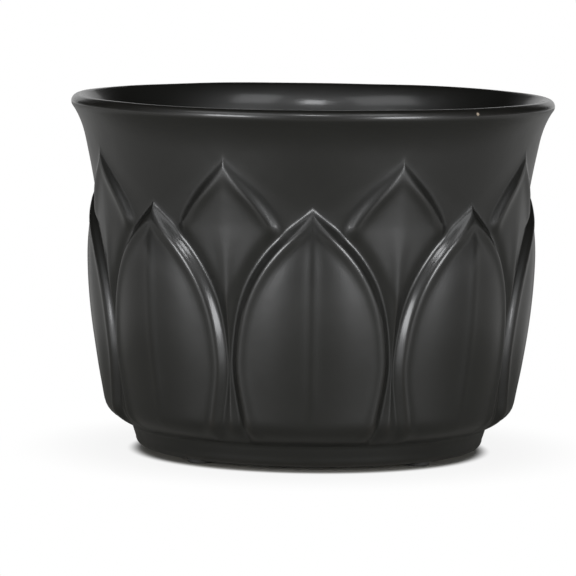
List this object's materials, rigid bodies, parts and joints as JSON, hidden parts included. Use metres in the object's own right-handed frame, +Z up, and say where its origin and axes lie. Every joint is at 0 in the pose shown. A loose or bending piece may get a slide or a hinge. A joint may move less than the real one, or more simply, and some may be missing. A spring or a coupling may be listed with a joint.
{
  "type": "flower pot",
  "caption": "Round glazed ceramic flower pot with a flared lip, overlapping petals in relief, a set-in foot, and a drain with a rubber plug and a mesh disc.",
  "frame": {"origin": "on the table, on the pot's axis", "axes": "+Z up along the pot's axis, -Y to the front, +X to the right"},
  "size_m": [0.155, 0.155, 0.1141],
  "materials": {
    "glaze": "satin black glaze",
    "plug_rubber": "moulded, matt",
    "screen_plastic": "moulded, matt",
    "pad_rubber": "moulded, matt"
  },
  "bodies": {
    "pot": {"pot_body": "glaze", "foot_pad_1": "pad_rubber", "foot_pad_2": "pad_rubber", "foot_pad_3": "pad_rubber", "foot_pad_4": "pad_rubber"},
    "plug": {"drain_plug": "plug_rubber"},
    "screen": {"drain_screen": "screen_plastic"}
  },
  "joints": [
    {"name": "plug_pull", "type": "slide", "parent": "pot", "child": "plug", "axis": [0, 0, -1], "range_m": [0, 0.016]},
    {"name": "screen_lift", "type": "slide", "parent": "pot", "child": "screen", "axis": [0, 0, 1], "range_m": [0, 0.104]}
  ]
}
